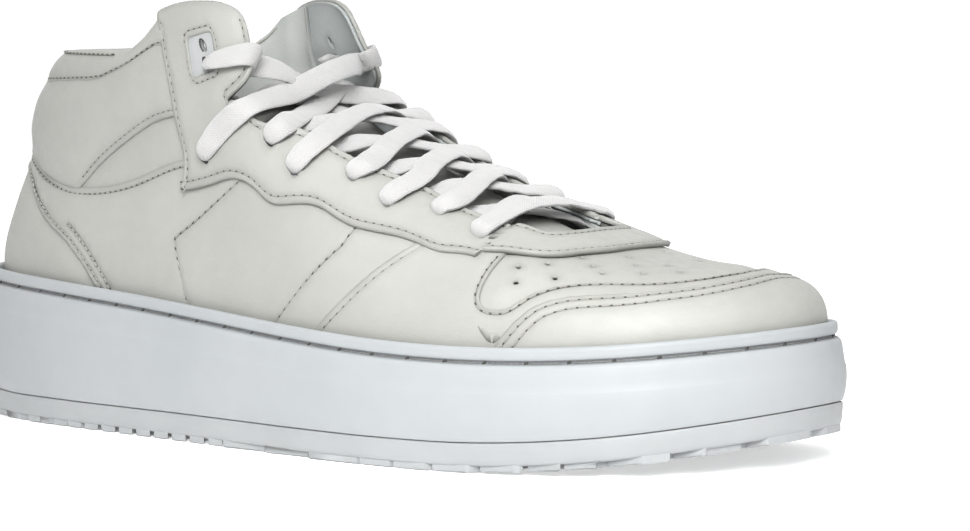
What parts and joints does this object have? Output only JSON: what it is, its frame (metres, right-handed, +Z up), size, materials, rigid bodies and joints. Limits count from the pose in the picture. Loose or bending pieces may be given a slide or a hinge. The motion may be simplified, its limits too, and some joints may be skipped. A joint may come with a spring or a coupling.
{
  "type": "basketball high top",
  "caption": "Laced mid-height leather court shoe for the right foot, with padded collar and thick stitched cupsole.",
  "frame": {"origin": "on the ground, under the middle of the sole's overall length and width", "axes": "+X points to the toe, +Y to the inner (medial) side of the right shoe, +Z up"},
  "size_m": [0.302, 0.1143, 0.134],
  "materials": {
    "upper_leather": "grained, semi-matt",
    "lining_textile": "fine mesh",
    "sole_rubber": "matt, moulded",
    "padding_foam": "open cell foam",
    "stiffener_board": "pressed fibre board",
    "lace_cotton": "flat woven cotton",
    "trim_plastic": "smooth"
  },
  "bodies": {
    "shoe": {"lateral_quarter": "upper_leather", "medial_quarter": "upper_leather", "vamp": "upper_leather", "mudguard": "upper_leather", "toe_panel": "upper_leather", "heel_foxing": "upper_leather", "lateral_collar_panel": "upper_leather", "medial_collar_panel": "upper_leather", "lateral_ankle_panel": "upper_leather", "medial_ankle_panel": "upper_leather", "collar_binding": "upper_leather", "eyestay": "upper_leather", "lateral_quarter_lining": "lining_textile", "medial_quarter_lining": "lining_textile", "vamp_lining": "lining_textile", "lateral_eyestay_lining": "lining_textile", "medial_eyestay_lining": "lining_textile", "cupsole": "sole_rubber", "outsole": "sole_rubber", "footbed": "padding_foam", "midsole_filler": "padding_foam", "lateral_collar_foam": "padding_foam", "medial_collar_foam": "padding_foam", "lasting_board": "stiffener_board", "heel_counter": "stiffener_board", "toe_puff": "stiffener_board", "lace": "lace_cotton", "lateral_lace_tail": "lace_cotton", "medial_lace_tail": "lace_cotton", "lateral_eyelet_patch": "trim_plastic", "medial_eyelet_patch": "trim_plastic", "lateral_aglet": "trim_plastic", "medial_aglet": "trim_plastic"},
    "tongue": {"tongue_face": "upper_leather", "tongue_foam": "padding_foam", "tongue_lining": "lining_textile"}
  },
  "joints": [
    {"name": "tongue_tilt", "type": "hinge", "parent": "shoe", "child": "tongue", "pos_m": [0.076, 0, 0.057], "axis": [0, -1, 0], "range_deg": [0, 7], "stiffness_Nm_per_rad": 0.5, "springref_deg": -5.73}
  ]
}
